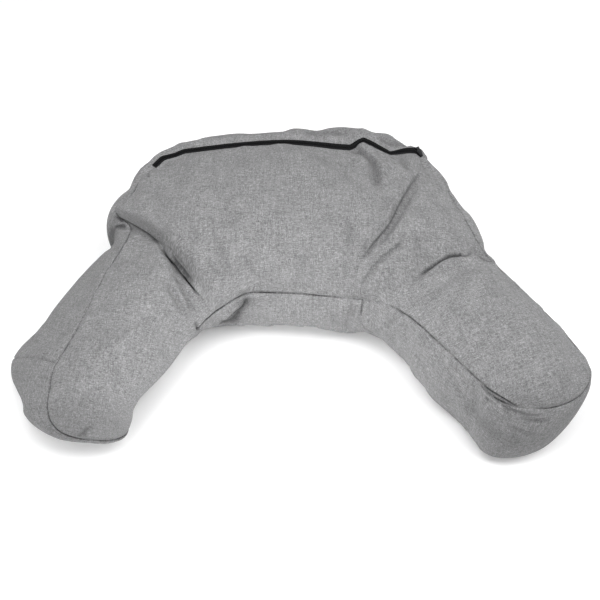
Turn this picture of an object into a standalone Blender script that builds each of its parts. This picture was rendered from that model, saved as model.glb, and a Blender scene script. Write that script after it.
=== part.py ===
"""A reading pillow with arms: a filled horseshoe cushion lying on its back, with a zip along its head."""
import math
from collections import namedtuple

import bmesh
import bpy
import numpy as np
from mathutils import Matrix, Vector

# All sizes and places below are in millimetres; the finished meshes are scaled to metres.
MM = 0.001
OBJECT_NAME = "reading_pillow_with_arms"

# The pillow is laid out as ribs, from the tip of the left arm round the head to the tip of the right
# arm. A rib crosses the cushion from the seam on its lap side, over the ridge of the crown, to the
# seam on its outer side. Steps is the number of stations from this rib to the next.
Rib = namedtuple("Rib", "name lap_seam ridge outer_seam steps")
RIBS = (
    Rib("left_end", (-228, -200, 60), (-274, -206, 138), (-347, -211, 114), 3),
    Rib("left_wrist", (-215, -177, 62), (-264, -170, 146), (-340, -166, 127), 4),
    Rib("left_arm", (-184, -134, 66), (-238, -119, 154), (-313, -106, 134), 4),
    Rib("left_elbow", (-154, -91, 78), (-210, -45, 160), (-281, -17, 138), 6),
    Rib("left_crease", (-124, -65, 100), (-191, 17, 154), (-253, 60, 140), 6),
    Rib("left_shoulder", (-106, -52, 106), (-154, 17, 184), (-269, 91, 152), 5),
    Rib("left_back", (-84, -39, 112), (-118, 28, 196), (-240, 128, 160), 4),
    Rib("zip_start", (-64, -30, 112), (-89, 38, 200), (-209, 173, 166), 4),
    Rib("head_left", (-27, -30, 112), (-45, 45, 203), (-138, 195, 170), 4),
    Rib("head_middle", (11, -32, 112), (11, 46, 203), (-28, 206, 172), 6),
    Rib("head_right", (56, -37, 112), (79, 46, 200), (85, 198, 168), 3),
    Rib("zip_kink", (71, -39, 112), (95, 45, 198), (111, 207, 176), 5),
    Rib("right_of_head", (83, -40, 112), (111, 42, 197), (146, 194, 165), 7),
    Rib("zip_end", (94, -41, 112), (135, 41, 193), (206, 187, 158), 6),
    Rib("right_shoulder", (110, -43, 112), (171, 28, 186), (250, 96, 152), 6),
    Rib("right_crease", (142, -54, 116), (228, -2, 156), (292, 24, 136), 5),
    Rib("right_elbow", (176, -84, 126), (261, -57, 163), (333, -23, 126), 4),
    Rib("right_arm", (219, -136, 132), (303, -118, 166), (384, -84, 122), 3),
    Rib("right_end", (266, -192, 134), (343, -178, 160), (421, -152, 122), 1),
)

# The boxing between the seam and the foot, at the same ribs. A lean is how far the foot stands from
# the seam above it, a bulge is how far the boxing swells between the two, the shoulder is how square
# the top of the outer boxing is, and the tilt is how steeply its zip band slopes, in degrees.
Boxing = namedtuple("Boxing", "name lap_lean outer_lean lap_bulge outer_bulge shoulder tilt")
BOXINGS = (
    Boxing("left_end", (-30, 18), (-62, 40), 14, 12, 0.4, 9),
    Boxing("left_wrist", (-34, 14), (-92, 66), 14, 12, 0.3, 9),
    Boxing("left_arm", (-34, 10), (-82, 66), 14, 14, 0.3, 9),
    Boxing("left_elbow", (-26, 4), (-56, 52), 14, 16, 0.3, 9),
    Boxing("left_crease", (-10, 2), (-26, 26), 12, 16, 0.4, 9),
    Boxing("left_shoulder", (-6, 0), (-2, 4), 10, 22, 0.6, 9),
    Boxing("left_back", (-3, -3), (2, 2), 10, 28, 0.8, 9),
    Boxing("zip_start", (0, -3), (4, -2), 10, 28, 0.9, 14),
    Boxing("head_left", (0, -3), (0, -4), 10, 38, 1.0, 10),
    Boxing("head_middle", (0, -3), (0, -6), 10, 46, 1.0, 10),
    Boxing("head_right", (0, -3), (0, -6), 10, 54, 1.0, 10),
    Boxing("zip_kink", (0, -3), (0, -22), 10, 42, 1.0, 12),
    Boxing("right_of_head", (0, -3), (0, -4), 10, 46, 1.0, 16),
    Boxing("zip_end", (0, -3), (0, 0), 10, 22, 0.7, 40),
    Boxing("right_shoulder", (0, -4), (4, 0), 12, 18, 0.5, 30),
    Boxing("right_crease", (-6, -14), (0, 0), 14, 14, 0.4, 9),
    Boxing("right_elbow", (-10, -18), (-8, -4), 16, 12, 0.3, 9),
    Boxing("right_arm", (-12, -28), (-16, -8), 16, 12, 0.3, 9),
    Boxing("right_end", (-12, -36), (-38, -10), 16, 10, 0.3, 9),
)

# The rounded ends of the arms: the middle of the end's seam, how square the end is, and its boxing.
ArmEnd = namedtuple("ArmEnd", "seam squareness lean bulge")
LEFT_END = ArmEnd((-293, -247, 54), 2.8, (-4, 30), 14)
RIGHT_END = ArmEnd((377, -225, 124), 2.35, (-38, -24), 12)

# The main creases in the top panel: three points of an arc in plan, the depth and half width of the
# valley, and how far the cloth beside it stands up as a lip, on the right of the arc or, where the
# value is negative, on its left.
Fold = namedtuple("Fold", "name start middle end depth half_width lip")
FOLDS = (
    Fold("left_crease", (-280, 82), (-199, 27), (-134, -50), 13, 9, -7),
    Fold("left_inner_tuck", (-172, -17), (-148, -50), (-134, -74), 4, 9, 0),
    Fold("right_crease", (296, 16), (232, 4), (178, -45), 9, 10, 4),
    Fold("right_root", (296, 14), (240, -20), (165, -70), 3, 14, 0),
    Fold("head_to_lap", (190, 143), (147, 45), (100, -30), 6, 9, -3),
    Fold("beside_it", (187, 111), (164, 67), (135, 14), 4, 8, 2),
    Fold("lap_tuck", (160, 11), (125, -21), (98, -38), 5, 8, 0),
    Fold("under_zip_kink", (95, 194), (122, 159), (127, 107), 5, 9, 3),
    Fold("left_lap_hollow", (-104, 33), (-82, -5), (-65, -25), 3, 13, 0),
    Fold("right_end_tuck", (271, -198), (292, -214), (316, -228), 4, 7, 0),
)
FOLD_SAMPLES = 24
LIP_PLACE = 1.7                 # in half widths from the valley
LIP_SPREAD = 0.9

END_SPOKES = 9                  # spokes that fan round the end of an arm
CROWN_ROWS = (0.16, 0.32, 0.48, 0.63, 0.76, 0.87, 0.95, 1.0)
BOXING_ROWS = (0.08, 0.20, 0.33, 0.47, 0.61, 0.75, 0.88, 1.0)
UNDERSIDE_ROWS = (0.45,)
CROWN_ROUND = 2.2               # how flat the crown is along its middle
CROWN_EDGE = 0.8                # how steeply it falls to the seam
FOOT_HEIGHT = 20                # where the boxing starts to turn under
FOOT_ROLL = 0.14                # the part of the underside that this turn takes up
FOOT_ROLL_ROWS = 3

# The zip lies in a shallow channel in a flat band just outside the seam of the head, between two
# places along the ribs. Away from the zip the band closes up. Spans are distances out from the seam.
ZIP_FROM = 6.8
ZIP_TO = 12.9
ZIP_RUN_OUT = 0.7               # how far past the zip the band has closed up, in ribs
BAND_CLOSED = 0.08              # the part of its width that it keeps there
BAND_WIDTH = 14.0
CHANNEL_EDGES = (0.8, 1.6, 12.4, 13.2)
CHANNEL_DEPTH = 1.9
TAPE_THICKNESS = 0.9
TAPE_SPANS = (("zip_tape_front", 2.0, 6.7), ("zip_tape_rear", 7.3, 12.0))
COIL_SPAN = (5.0, 9.0)
COIL_THICKNESS = 1.4
CLEARANCE = 0.5                 # between pieces that touch
SLIDER_SIZE = (11, 7, 2.4)
PULL_SIZE = (16, 5, 1.2)
SLIDER_BEVEL = 0.5

CLOTH_GREY = (0.29, 0.29, 0.30)
ZIP_BLACK = (0.012, 0.012, 0.013)
SLIDER_BLACK = (0.02, 0.02, 0.022)


def smooth_through(values, places):
    """Read a smooth curve through the values; place 0 is the first value, place 1 the second."""
    knots = np.asarray(values, float)
    last = len(knots) - 1
    cell = np.clip(np.floor(places).astype(int), 0, last - 1)
    t = (np.asarray(places, float) - cell).reshape((-1,) + (1,) * (knots.ndim - 1))
    before = knots[np.clip(cell - 1, 0, last)]
    start = knots[cell]
    end = knots[cell + 1]
    after = knots[np.clip(cell + 2, 0, last)]
    cubic = 3 * start - before - 3 * end + after
    square = 2 * before - 5 * start + 4 * end - after
    return 0.5 * (2 * start + (end - before) * t + square * t ** 2 + cubic * t ** 3)


def smooth_step(t):
    t = np.clip(t, 0, 1)
    return t * t * (3 - 2 * t)


def column(table, name, places):
    """One column of a table of ribs, read at places along them."""
    return smooth_through([getattr(row, name) for row in table], places)


def level(vectors):
    """Give plan vectors (x, y) no height."""
    return np.column_stack([vectors, np.zeros(len(vectors))])


def stations():
    """The places along the ribs at which the pillow has a section."""
    places = [np.arange(rib.steps) / rib.steps + number for number, rib in enumerate(RIBS[:-1])]
    return np.append(np.concatenate(places), len(RIBS) - 1)


def end_fan(rib, boxing, end):
    """The spokes round the end of an arm, from its lap side to its outer side."""
    angle = np.linspace(0, math.pi, END_SPOKES + 2)[1:-1]
    across = np.sign(np.cos(angle)) * np.abs(np.cos(angle)) ** (2 / end.squareness)
    along = np.sin(angle) ** (2 / end.squareness)
    lap, outer, tip = (np.array(point, float) for point in (rib.lap_seam, rib.outer_seam, end.seam))
    middle = (lap + outer) / 2
    seam = middle + np.outer(across, (lap - outer) / 2) + np.outer(along, tip - middle)
    to_lap = (1 + across) / 2
    to_tip = along ** 2
    side_lean = np.outer(to_lap, boxing.lap_lean) + np.outer(1 - to_lap, boxing.outer_lean)
    lean = side_lean * (1 - to_tip[:, None]) + np.outer(to_tip, end.lean)
    side_bulge = to_lap * boxing.lap_bulge + (1 - to_lap) * boxing.outer_bulge
    bulge = side_bulge * (1 - to_tip) + end.bulge * to_tip
    return seam, level(lean), bulge


class Spokes:
    """Lines from the ridge out to the seam, right round the pillow: the lap side, the right end, the
    outer side and the left end. Every array has one row for each spoke."""

    def __init__(self):
        places = stations()
        back = places[::-1]
        count = len(places)
        right_seam, right_lean, right_bulge = end_fan(RIBS[-1], BOXINGS[-1], RIGHT_END)
        left_seam, left_lean, left_bulge = end_fan(RIBS[0], BOXINGS[0], LEFT_END)
        ends = np.zeros(END_SPOKES, int)
        self.station = np.concatenate([np.arange(count), ends + count - 1, np.arange(count)[::-1], ends])
        self.place = places[self.station]
        self.outer = np.arange(len(self.station)) // (count + END_SPOKES) == 1
        self.outer[-END_SPOKES:] = False
        self.ridge = column(RIBS, "ridge", self.place)
        self.seam = np.vstack([column(RIBS, "lap_seam", places), right_seam,
                               column(RIBS, "outer_seam", back), left_seam[::-1]])
        lean = np.vstack([level(column(BOXINGS, "lap_lean", places)), right_lean,
                          level(column(BOXINGS, "outer_lean", back)), left_lean[::-1]])
        self.bulge = np.concatenate([column(BOXINGS, "lap_bulge", places), right_bulge,
                                     column(BOXINGS, "outer_bulge", back), left_bulge[::-1]])
        soft = BOXINGS[0].shoulder
        self.shoulder = np.where(self.outer, column(BOXINGS, "shoulder", self.place), soft)
        self.foot = self.seam + lean
        self.foot[:, 2] = FOOT_HEIGHT
        opposite = self.foot[count + END_SPOKES:2 * count + END_SPOKES][::-1]
        self.keel = ((self.foot[:count] + opposite) / 2)[self.station]
        self.out = self.outward()
        self.tilt = np.radians(column(BOXINGS, "tilt", self.place))[:, None]
        past = np.maximum(ZIP_FROM - self.place, self.place - ZIP_TO)
        open_share = np.where(self.outer, 1 - smooth_step(past / ZIP_RUN_OUT), 0)
        self.band_share = BAND_CLOSED + (1 - BAND_CLOSED) * open_share
        self.zipped = self.outer & (past <= 0)

    def outward(self):
        """The level direction out of the pillow at each spoke's seam."""
        along = np.roll(self.seam, -1, 0) - np.roll(self.seam, 1, 0)
        along[:, 2] = 0
        for _ in range(3):
            along = (np.roll(along, 1, 0) + 2 * along + np.roll(along, -1, 0)) / 4
        along /= np.linalg.norm(along, axis=1)[:, None]
        out = np.column_stack([along[:, 1], -along[:, 0], np.zeros(len(along))])
        return out * math.copysign(1, np.sum(out * (self.seam - self.ridge)))

    def band(self, distance, height):
        """Points on the flat band outside the seam, raised off it by a height."""
        up = np.array([0, 0, 1.0])
        across = self.out * np.cos(self.tilt) - up * np.sin(self.tilt)
        normal = self.out * np.sin(self.tilt) + up * np.cos(self.tilt)
        return self.seam + across * distance + normal * height


def press_folds(points):
    """Press the creases into points of the top panel, and raise the lips beside them."""
    points = points.copy()
    t = np.linspace(0, 1, FOLD_SAMPLES)[:, None]
    for fold in FOLDS:
        start, middle, end = (np.array(point, float) for point in (fold.start, fold.middle, fold.end))
        control = 2 * middle - (start + end) / 2
        path = (1 - t) ** 2 * start + 2 * t * (1 - t) * control + t ** 2 * end
        away = points[:, None, :2] - path[None]
        nearest = np.argmin(np.sum(away ** 2, axis=2), axis=1)
        offset = away[np.arange(len(points)), nearest]
        along = np.gradient(path, axis=0)[nearest]
        to_the_right = offset[:, 0] * along[:, 1] - offset[:, 1] * along[:, 0]
        distance = np.linalg.norm(offset, axis=1) / fold.half_width
        valley = fold.depth * np.exp(-distance ** 2)
        lip = abs(fold.lip) * np.exp(-((distance - LIP_PLACE) / LIP_SPREAD) ** 2)
        lip *= smooth_step(0.5 + 0.25 * distance * np.sign(to_the_right) * np.sign(fold.lip))
        share = nearest / (FOLD_SAMPLES - 1)
        fade = smooth_step(0.4 + share * 5) * smooth_step(0.2 + (1 - share) * 4)
        points[:, 2] += (lip - valley) * fade
    return points


def crown_row(spokes, reach):
    """The top panel at one part of the way from the ridge to the seam."""
    row = spokes.ridge + (spokes.seam - spokes.ridge) * reach
    rise = (1 - reach ** CROWN_ROUND) ** CROWN_EDGE
    row[:, 2] = spokes.seam[:, 2] + (spokes.ridge[:, 2] - spokes.seam[:, 2]) * rise
    return press_folds(row)


def band_rows(spokes):
    """The band between the seam and the boxing, with the zip's channel where the zip lies."""
    open_channel = spokes.band_share ** 3
    for number, edge in enumerate(CHANNEL_EDGES):
        sunk = CHANNEL_DEPTH if number in (1, 2) else 0
        yield spokes.band((edge * spokes.band_share)[:, None], (-sunk * open_channel)[:, None])


def boxing_row(spokes, down):
    """The boxing at one part of the way from the band's outer edge to the foot."""
    start = spokes.band((BAND_WIDTH * spokes.band_share)[:, None], 0)
    shoulder = spokes.shoulder[:, None]
    swell = math.sin(math.pi * down) ** (0.9 - 0.45 * shoulder)
    row = start + (spokes.foot - start) * down + spokes.out * spokes.bulge[:, None] * swell
    drop = down * (1 - shoulder) + (1 - math.cos(math.pi * down)) / 2 * shoulder
    row[:, 2:] = start[:, 2:] + (spokes.foot[:, 2:] - start[:, 2:]) * drop
    return row


def underside_row(spokes, reach, height):
    row = spokes.keel + (spokes.foot - spokes.keel) * reach
    row[:, 2] = height
    return row


def cushion_rows(spokes):
    """All the rows of the pillow, from just off the ridge to just off the middle of the underside."""
    rows = [crown_row(spokes, reach) for reach in CROWN_ROWS]
    rows += band_rows(spokes)
    rows += [boxing_row(spokes, down) for down in BOXING_ROWS]
    for turn in np.arange(1, FOOT_ROLL_ROWS + 1) / FOOT_ROLL_ROWS * math.pi / 2:
        rows.append(underside_row(spokes, 1 - FOOT_ROLL * math.sin(turn), FOOT_HEIGHT * (1 - math.sin(turn))))
    rows += [underside_row(spokes, reach, 0) for reach in UNDERSIDE_ROWS]
    return rows


def finish(name, body, colour, roughness, metallic=0.0):
    """Turn a bmesh in millimetres into one object in metres with its own material."""
    bmesh.ops.recalc_face_normals(body, faces=body.faces)
    bmesh.ops.scale(body, vec=Vector((MM, MM, MM)), verts=body.verts)
    mesh = bpy.data.meshes.new(name)
    body.to_mesh(mesh)
    body.free()
    mesh.shade_smooth()
    mesh.set_sharp_from_angle(angle=math.radians(40))
    material = bpy.data.materials.new(name)
    material.use_nodes = True
    shader = material.node_tree.nodes["Principled BSDF"]
    shader.inputs["Base Color"].default_value = (*colour, 1)
    shader.inputs["Roughness"].default_value = roughness
    shader.inputs["Metallic"].default_value = metallic
    mesh.materials.append(material)
    piece = bpy.data.objects.new(name, mesh)
    bpy.data.collections[OBJECT_NAME].objects.link(piece)
    return piece


def add_triangulated(body, corners):
    """Add a quad as two triangles, or a triangle, leaving out corners that fall together."""
    corners = [corner for number, corner in enumerate(corners) if corner not in corners[:number]]
    if len(corners) == 4:
        body.faces.new(corners[:3])
        body.faces.new([corners[2], corners[3], corners[0]])
    elif len(corners) == 3:
        body.faces.new(corners)


def make_cushion(spokes):
    """The cover and its filling as one solid: top panel, boxing and underside."""
    body = bmesh.new()
    ridge_points = crown_row(spokes, 0.0)
    keel_points = underside_row(spokes, 0.0, 0)
    count = spokes.station.max() + 1
    ridge = [body.verts.new(ridge_points[number]) for number in range(count)]
    keel = [body.verts.new(keel_points[number]) for number in range(count)]
    rows = [[ridge[station] for station in spokes.station]]
    rows += [[body.verts.new(point) for point in row] for row in cushion_rows(spokes)]
    rows.append([keel[station] for station in spokes.station])
    for upper, lower in zip(rows, rows[1:]):
        for here in range(len(upper)):
            after = (here + 1) % len(upper)
            add_triangulated(body, [upper[here], lower[here], lower[after], upper[after]])
    return finish("cushion", body, CLOTH_GREY, 0.95)


def make_strip(name, spokes, span, bottom, top, colour, roughness):
    """A strip of the zip: a flat bar that follows the band, from one height above it to another."""
    corners = [(span[0], bottom), (span[1], bottom), (span[1], top), (span[0], top)]
    edges = [spokes.band(distance, height)[spokes.zipped] for distance, height in corners]
    body = bmesh.new()
    rings = [[body.verts.new(edge[number]) for edge in edges] for number in range(len(edges[0]))]
    for ring, following in zip(rings, rings[1:]):
        for corner in range(4):
            after = (corner + 1) % 4
            add_triangulated(body, [ring[corner], ring[after], following[after], following[corner]])
    body.faces.new(rings[0])
    body.faces.new(rings[-1][::-1])
    return finish(name, body, colour, roughness)


def make_block(name, size, place, colour):
    """A small bevelled block of the slider, set on the coil at a place in space."""
    body = bmesh.new()
    bmesh.ops.create_cube(body, size=1.0, matrix=place @ Matrix.Diagonal((*size, 1)))
    bmesh.ops.bevel(body, geom=body.edges, offset=SLIDER_BEVEL, segments=2, affect="EDGES")
    return finish(name, body, colour, 0.4)


def make_zip(spokes):
    """Two tapes, the closed coil over them, and the slider at its right-hand end."""
    tape_bottom = CLEARANCE - CHANNEL_DEPTH
    tape_top = tape_bottom + TAPE_THICKNESS
    coil_bottom = tape_top + CLEARANCE
    coil_top = coil_bottom + COIL_THICKNESS
    for name, near, far in TAPE_SPANS:
        make_strip(name, spokes, (near, far), tape_bottom, tape_top, ZIP_BLACK, 0.85)
    make_strip("zip_coil", spokes, COIL_SPAN, coil_bottom, coil_top, ZIP_BLACK, 0.5)
    middle = sum(COIL_SPAN) / 2
    run = spokes.band(middle, coil_top)[spokes.zipped]
    raised = spokes.band(middle, coil_top + 1)[spokes.zipped]
    end, before = Vector(run[0]), Vector(run[1])
    normal = (Vector(raised[0]) - end).normalized()
    along = (before - end).normalized()
    across = normal.cross(along)
    turn = Matrix((along, across, normal)).transposed().to_4x4()
    slider_rise = CLEARANCE + SLIDER_SIZE[2] / 2
    slider_centre = end + along * SLIDER_SIZE[0] / 2 + normal * slider_rise
    make_block("zip_slider", SLIDER_SIZE, Matrix.Translation(slider_centre) @ turn, SLIDER_BLACK)
    pull_rise = slider_rise + SLIDER_SIZE[2] / 2 + CLEARANCE + PULL_SIZE[2] / 2
    pull_centre = end + along * PULL_SIZE[0] / 2 + normal * pull_rise
    make_block("zip_pull", PULL_SIZE, Matrix.Translation(pull_centre) @ turn, SLIDER_BLACK)


def main():
    for old in list(bpy.data.objects):
        bpy.data.objects.remove(old, do_unlink=True)
    bpy.context.scene.collection.children.link(bpy.data.collections.new(OBJECT_NAME))
    spokes = Spokes()
    make_cushion(spokes)
    make_zip(spokes)


main()
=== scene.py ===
"""A grey reading pillow with arms, lying on its back: a boxed, filled horseshoe with a black zip."""

import math
from collections import namedtuple

import bmesh
import bpy
import numpy as np
from mathutils import Matrix, Vector
from mathutils.bvhtree import BVHTree
from mathutils.kdtree import KDTree


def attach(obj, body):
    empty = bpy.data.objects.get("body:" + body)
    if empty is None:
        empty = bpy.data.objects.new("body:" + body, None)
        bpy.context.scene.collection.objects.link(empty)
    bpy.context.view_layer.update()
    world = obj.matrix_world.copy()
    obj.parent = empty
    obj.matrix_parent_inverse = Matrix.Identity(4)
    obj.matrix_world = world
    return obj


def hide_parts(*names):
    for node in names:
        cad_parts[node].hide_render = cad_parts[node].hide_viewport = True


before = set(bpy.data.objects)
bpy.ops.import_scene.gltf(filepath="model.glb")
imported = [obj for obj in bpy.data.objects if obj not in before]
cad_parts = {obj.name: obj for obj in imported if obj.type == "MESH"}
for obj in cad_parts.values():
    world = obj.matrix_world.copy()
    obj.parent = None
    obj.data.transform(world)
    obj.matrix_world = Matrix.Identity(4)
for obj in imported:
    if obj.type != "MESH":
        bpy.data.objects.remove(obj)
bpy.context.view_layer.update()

# ----------------------------------------------------------
# The table under the pillow: a plain white sheet with a painted glow round the pillow, painted light
# that washes out the shadows there, while the sheet is left to the shadows inside its lap. Four soft
# boxes hang overhead, the strongest on the right, and white cards stand to the right, in front on the
# left and low in the lap. The camera looks down on the lap side at 58 degrees.

MM = 0.001
VIEW_ELEVATION = math.radians(58)
VIEW_DISTANCE = 1.8
VIEW_TARGET = Vector((0.011, 0.001, 0.070))
PIXEL_SIZE = 0.00155            # on the plane through the target, at 600 pixels across
FRAME_PIXELS = 600
FRAME_DROP = 10                 # pixels by which the target sits above the middle of the frame
SENSOR_WIDTH = 36
SWEEP_SIZE = 9.0
SWEEP_DROP = 0.0004             # how far below the pillow the sheet lies
SWEEP_WHITE = (0.93, 0.93, 0.93, 1)
SWEEP_FIBRE = (0.915, 0.915, 0.918, 1)
SWEEP_PAINTED_GLOW = 0.18               # strength of the glow painted into the sheet
LAP_MIDDLE = (0.02, -0.14, 0)   # the shaded part of the sheet, an ellipse
LAP_REACH = (0.30, 0.19, 1)
LAP_FADE = (0.9, 1.35)          # where the glow starts and is full, in reaches of the ellipse
ROOM_WHITE = (1, 1, 1, 1)
ROOM_LIGHT = 0.15


def add_object(name, data):
    """Put a new object into the scene."""
    added = bpy.data.objects.new(name, data)
    bpy.context.scene.collection.objects.link(added)
    return added


def feed(node, inputs):
    """Give inputs of a node their values, or link them to the outputs that feed them."""
    for name, source in inputs.items():
        if isinstance(source, bpy.types.NodeSocket):
            node.id_data.links.new(source, node.inputs[name])
        else:
            node.inputs[name].default_value = source


def add_node(tree, kind, output, inputs, **settings):
    """Add a shader node, feed it, and give the output asked for."""
    node = tree.nodes.new("ShaderNode" + kind)
    for name, setting in settings.items():
        setattr(node, name, setting)
    feed(node, inputs)
    return node.outputs[output]


def add_mix(tree, factor, first, second, **settings):
    """Add a mix of two colours."""
    colours = {"Factor": factor, "A": first, "B": second}
    return add_node(tree, "Mix", "Result", colours, data_type="RGBA", **settings)


def add_ramp(tree, source, *stops):
    """Add a ramp of colours, each with its position, and give its colour."""
    colour = add_node(tree, "ValToRGB", "Color", {"Fac": source})
    elements = colour.node.color_ramp.elements
    for element, (position, stop) in zip(elements, (stops[0], stops[-1])):
        element.position = position
        element.color = stop
    for position, stop in stops[1:-1]:
        elements.new(position).color = stop
    return colour


def add_material(name):
    """A new material, with its node tree and its shader."""
    material = bpy.data.materials.new(name)
    material.use_nodes = True
    return material, material.node_tree, material.node_tree.nodes["Principled BSDF"]


bpy.ops.mesh.primitive_plane_add(size=SWEEP_SIZE, location=(0, 0, -SWEEP_DROP))
sweep = bpy.context.object
sweep.name = "white_sweep"
sweep_paper, tree, shader = add_material("matt white paper")
grain = add_node(tree, "TexNoise", "Fac", {"Scale": 900})
tone = add_mix(tree, grain, SWEEP_WHITE, SWEEP_FIBRE)
sheet_place = add_node(tree, "TexCoord", "Object", {})
from_lap = add_node(tree, "VectorMath", "Vector", {0: sheet_place, 1: LAP_MIDDLE}, operation="SUBTRACT")
lap_reaches = add_node(tree, "VectorMath", "Vector", {0: from_lap, 1: LAP_REACH}, operation="DIVIDE")
lap_distance = add_node(tree, "VectorMath", "Value", {0: lap_reaches}, operation="LENGTH")
painted_sheet_glow = add_node(tree, "MapRange", "Result", {
    "Value": lap_distance, "From Min": LAP_FADE[0], "From Max": LAP_FADE[1], "To Max": SWEEP_PAINTED_GLOW,
}, interpolation_type="SMOOTHSTEP")
feed(shader, {"Base Color": tone, "Roughness": 0.9, "Specular IOR Level": 0.1,
              "Emission Color": SWEEP_WHITE, "Emission Strength": painted_sheet_glow})
sweep.data.materials.append(sweep_paper)

camera = add_object("camera", bpy.data.cameras.new("camera"))
bpy.context.scene.camera = camera
away = Vector((0, math.cos(VIEW_ELEVATION), -math.sin(VIEW_ELEVATION)))
camera.location = VIEW_TARGET - away * VIEW_DISTANCE
camera.rotation_euler = away.to_track_quat("-Z", "Y").to_euler()
camera.data.sensor_width = SENSOR_WIDTH
camera.data.lens = SENSOR_WIDTH * VIEW_DISTANCE / (PIXEL_SIZE * FRAME_PIXELS)
camera.data.shift_y = -FRAME_DROP / FRAME_PIXELS

# name, place, what it faces, size, power in watts
SOFT_BOXES = (
    ("top_left_box", (-0.8, -0.2, 1.6), (0, 0, 0), 1.0, 7.49),
    ("top_middle_box", (0, 0, 1.8), (0, 0, 0), 1.0, 7.7),
    ("top_inner_box", (-0.4, 0, 1.7), (0, 0, 0), 0.8, 6.21),
    ("top_right_box", (0.8, -0.2, 1.6), (0, 0, 0), 1.0, 17.98),
    ("right_card", (1.7, 0.1, 0.5), (0, 0, 0), 0.9, 5.24),
    ("front_left_card", (-1.1, -1.1, 1.1), (0, 0, 0), 0.9, 8.67),
    ("lap_card", (-0.05, -0.33, 0.2), (-0.03, -0.04, 0.06), 0.25, 0.41),
    ("lap_inner_card", (0, -0.24, 0.12), (0.02, -0.04, 0.06), 0.15, 0.12),
)
for name, place, faces, size, power in SOFT_BOXES:
    lamp = add_object(name, bpy.data.lights.new(name, "AREA"))
    lamp.data.size = size
    lamp.data.energy = power
    lamp.location = place
    lamp.visible_camera = False
    lamp.rotation_euler = (Vector(faces) - Vector(place)).to_track_quat("-Z", "Y").to_euler()
white_room = bpy.data.worlds.new("white room")
white_room.use_nodes = True
feed(white_room.node_tree.nodes["Background"], {"Color": ROOM_WHITE, "Strength": ROOM_LIGHT})
bpy.context.scene.world = white_room
bpy.context.scene.view_settings.view_transform = "Standard"

# ----------------------------------------------------------
# The cover, cut and sewn: two horseshoe panels joined by a boxing. It is laid out as ribs from the tip
# of the left arm round the head to the tip of the right arm, in millimetres. A rib runs from the seam
# on the lap side over the ridge of the crown to the outer seam.

# Of each rib: the steps to the next, the seam on the lap side, the ridge and the outer seam. Then of the
# boxing there: how far its foot stands out from the seam on the lap side and the outer side, how far
# it swells between the two on each side, how square its outer shoulder is, how steeply the band for
# the zip slopes, in degrees, and how far the crown rolls over and hides the seam on the lap side.
Rib = namedtuple("Rib", "name steps lap_seam ridge outer_seam lap_lean outer_lean lap_bulge outer_bulge "
                        "shoulder tilt lap_tuck")
RIBS = (
    Rib("left_end", 3, (-228, -200, 60), (-274, -206, 138), (-347, -211, 114),
        (-36, 20), (-62, 40), 5, 12, 0.4, 9, 17),
    Rib("left_wrist", 4, (-215, -177, 62), (-264, -170, 146), (-340, -166, 127),
        (-40, 16), (-92, 66), 5, 15, 0.3, 9, 20),
    Rib("left_arm", 4, (-184, -134, 66), (-238, -119, 154), (-313, -106, 134),
        (-40, 12), (-82, 66), 5, 18, 0.3, 9, 20),
    Rib("left_elbow", 6, (-154, -91, 78), (-210, -45, 160), (-281, -17, 138),
        (-40, 12), (-56, 52), 4, 18, 0.3, 9, 13),
    Rib("left_crease", 6, (-124, -65, 100), (-191, 17, 154), (-247, 63, 142),
        (-18, 22), (-26, 26), 5, 24, 0.4, 9, 4),
    Rib("left_shoulder", 5, (-106, -52, 106), (-154, 17, 184), (-269, 91, 152),
        (-6, 18), (-2, 4), 6, 21, 0.6, 9, 0),
    Rib("left_back", 4, (-84, -39, 112), (-118, 28, 196), (-240, 128, 160),
        (0, 6), (2, 2), 10, 29, 0.8, 9, 0),
    Rib("zip_start", 4, (-64, -30, 112), (-89, 38, 200), (-200, 180, 166),
        (0, -1), (4, -2), 10, 21, 0.9, 12, 0),
    Rib("head_left", 4, (-27, -30, 112), (-45, 45, 203), (-134, 195, 170),
        (0, -4), (0, -4), 10, 41, 1.0, 10, 0),
    Rib("head_middle", 6, (11, -32, 112), (11, 46, 203), (-15, 206, 172),
        (0, -3), (0, -6), 10, 42, 1.0, 10, 0),
    Rib("head_right", 3, (56, -37, 112), (79, 46, 200), (90, 197, 168),
        (0, -3), (0, -6), 10, 64, 1.0, -4, 0),
    Rib("zip_kink", 5, (71, -39, 112), (95, 45, 198), (111, 206, 176),
        (0, -3), (0, -22), 10, 39, 1.0, 4, 0),
    Rib("right_of_head", 7, (83, -40, 112), (111, 42, 197), (152, 191, 165),
        (0, -3), (0, -4), 10, 57, 1.0, 20, 0),
    Rib("zip_end", 6, (94, -41, 112), (135, 41, 193), (194, 198, 158),
        (0, -3), (0, 0), 10, 2, 0.7, -8, 0),
    Rib("right_shoulder", 6, (110, -43, 112), (171, 28, 186), (253, 98, 152),
        (0, -2), (4, 0), 12, 26, 0.5, 20, 0),
    Rib("right_crease", 5, (142, -54, 116), (228, -2, 156), (292, 24, 136),
        (2, -9), (0, 0), 14, 11, 0.4, 9, 0),
    Rib("right_elbow", 4, (176, -84, 126), (261, -57, 163), (333, -23, 126),
        (-4, -15), (-8, -4), 13, 10, 0.3, 9, 0),
    Rib("right_arm", 3, (219, -136, 132), (303, -118, 166), (386, -88, 122),
        (-7, -25), (-16, -8), 9, 9, 0.3, 9, 0),
    Rib("right_end", 1, (266, -192, 134), (343, -178, 160), (423, -148, 122),
        (0, -27), (-38, -10), 8, 12, 0.3, 9, 0),
)

# The end of an arm: the farthest point of its seam, how square it is, and its boxing's lean and bulge.
ArmEnd = namedtuple("ArmEnd", "seam squareness lean bulge")
LEFT_END = ArmEnd((-292, -245, 54), 2.8, (-4, 30), 11)
RIGHT_END = ArmEnd((368, -227, 124), 2.1, (-29, -26), 9)

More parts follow.
